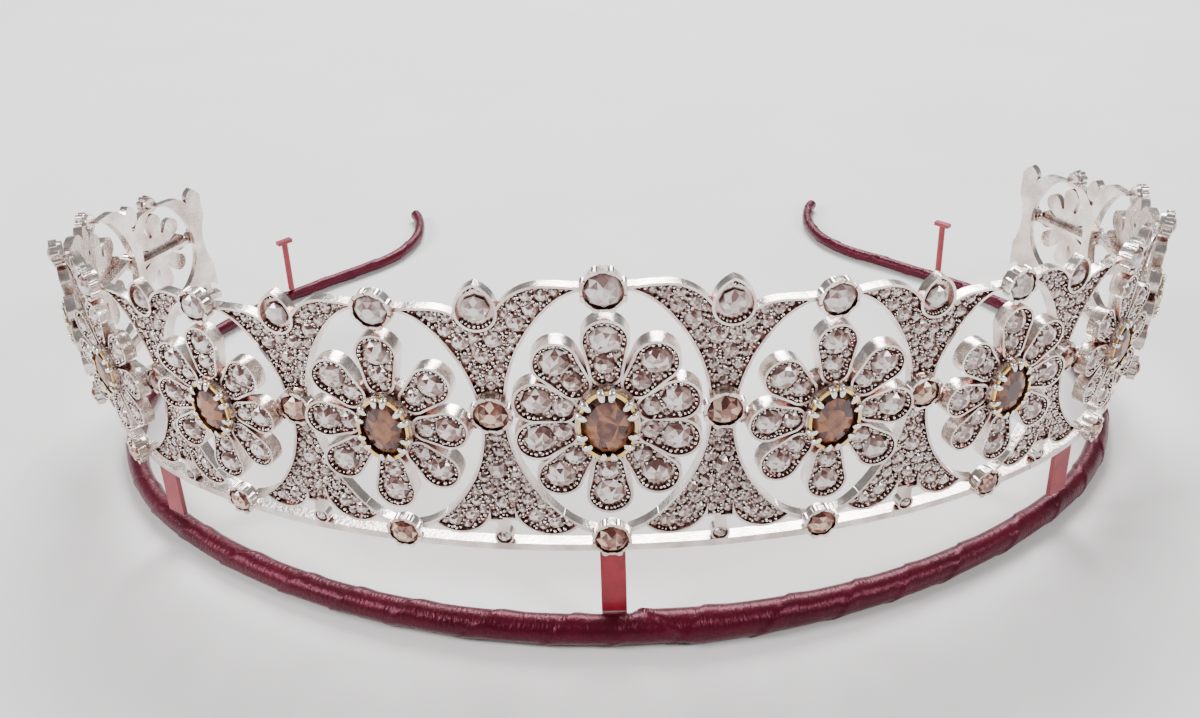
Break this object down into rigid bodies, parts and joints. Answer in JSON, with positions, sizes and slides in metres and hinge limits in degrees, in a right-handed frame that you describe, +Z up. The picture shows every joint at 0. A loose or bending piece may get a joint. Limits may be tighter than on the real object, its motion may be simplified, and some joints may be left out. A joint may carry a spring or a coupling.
{
  "type": "tiara",
  "caption": "Openwork tiara of graduated stone-set flower panels and leaf spacers on a base rail, with a ribbon-wrapped wire hoop under it.",
  "frame": {"origin": "middle of the footprint, on the surface that the tiara stands on", "axes": "+Z up; -Y to the front, where the middle flower faces; the tiara mirrors across X = 0"},
  "size_m": [0.1468, 0.1223, 0.0484],
  "materials": {
    "silver": "polished silver, darker in its recesses",
    "gold": "polished",
    "ribbon": "satin ribbon, wound round the wire",
    "red_metal": "satin",
    "brown_stone": "faceted",
    "collet_stone": "rose cut",
    "clear_stone": "rose cut"
  },
  "bodies": {
    "root": {"band": "silver", "hoop": "ribbon", "post_mid": "red_metal", "post_left": "red_metal", "post_right": "red_metal", "pin_left": "red_metal", "pin_right": "red_metal", "top_stones": "collet_stone", "waist_stones": "collet_stone", "rail_stones": "collet_stone", "bud_stones": "clear_stone", "flower_0": "silver", "flower_r1": "silver", "flower_r2": "silver", "flower_r3": "silver", "flower_r4": "silver", "flower_r5": "silver", "flower_r6": "silver", "flower_l1": "silver", "flower_l2": "silver", "flower_l3": "silver", "flower_l4": "silver", "flower_l5": "silver", "flower_l6": "silver", "stone_0": "brown_stone", "stone_r1": "brown_stone", "stone_r2": "brown_stone", "stone_r3": "brown_stone", "stone_r4": "brown_stone", "stone_r5": "brown_stone", "stone_r6": "brown_stone", "stone_l1": "brown_stone", "stone_l2": "brown_stone", "stone_l3": "brown_stone", "stone_l4": "brown_stone", "stone_l5": "brown_stone", "stone_l6": "brown_stone"}
  },
  "joints": []
}
